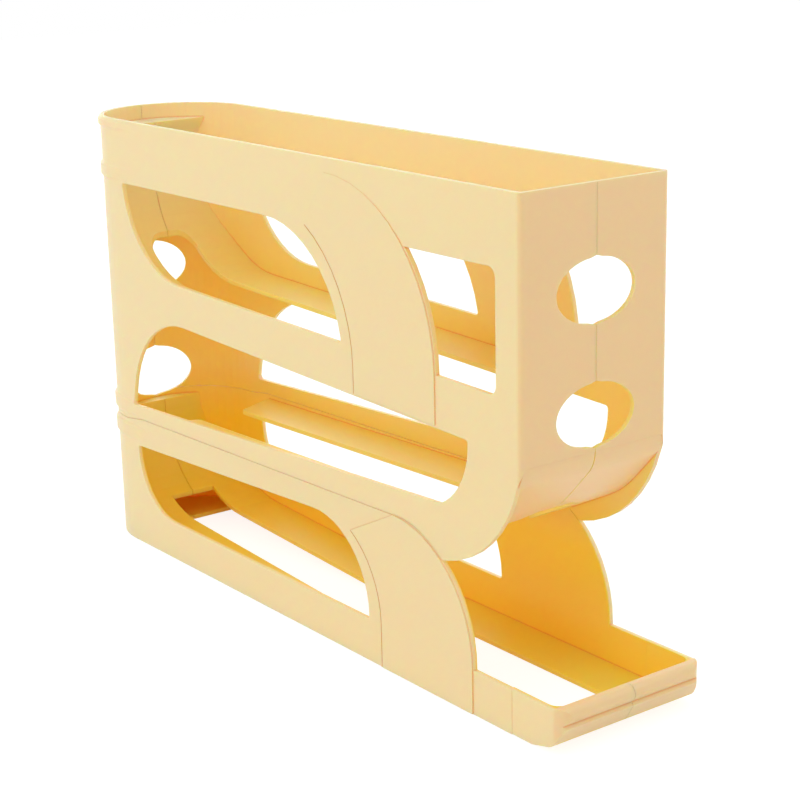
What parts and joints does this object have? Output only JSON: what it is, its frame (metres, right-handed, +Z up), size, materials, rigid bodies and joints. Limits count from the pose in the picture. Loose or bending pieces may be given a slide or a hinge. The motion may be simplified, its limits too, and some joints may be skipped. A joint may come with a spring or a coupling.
{
  "type": "egg dispenser",
  "caption": "Tall open plastic rack whose sloping slotted floors let eggs roll from the open top, turning at each end, down to a shallow front tray.",
  "frame": {"origin": "centre of the bounding box in plan, at the base that stands on the table", "axes": "+X towards the tray at the front, +Y across to the left side, +Z up"},
  "size_m": [0.3654, 0.0768, 0.214],
  "materials": {
    "cream_polypropylene": "satin"
  },
  "bodies": {
    "root": {"upper_right_shell": "cream_polypropylene", "upper_left_shell": "cream_polypropylene", "lower_right_shell": "cream_polypropylene", "lower_left_shell": "cream_polypropylene"}
  },
  "joints": []
}
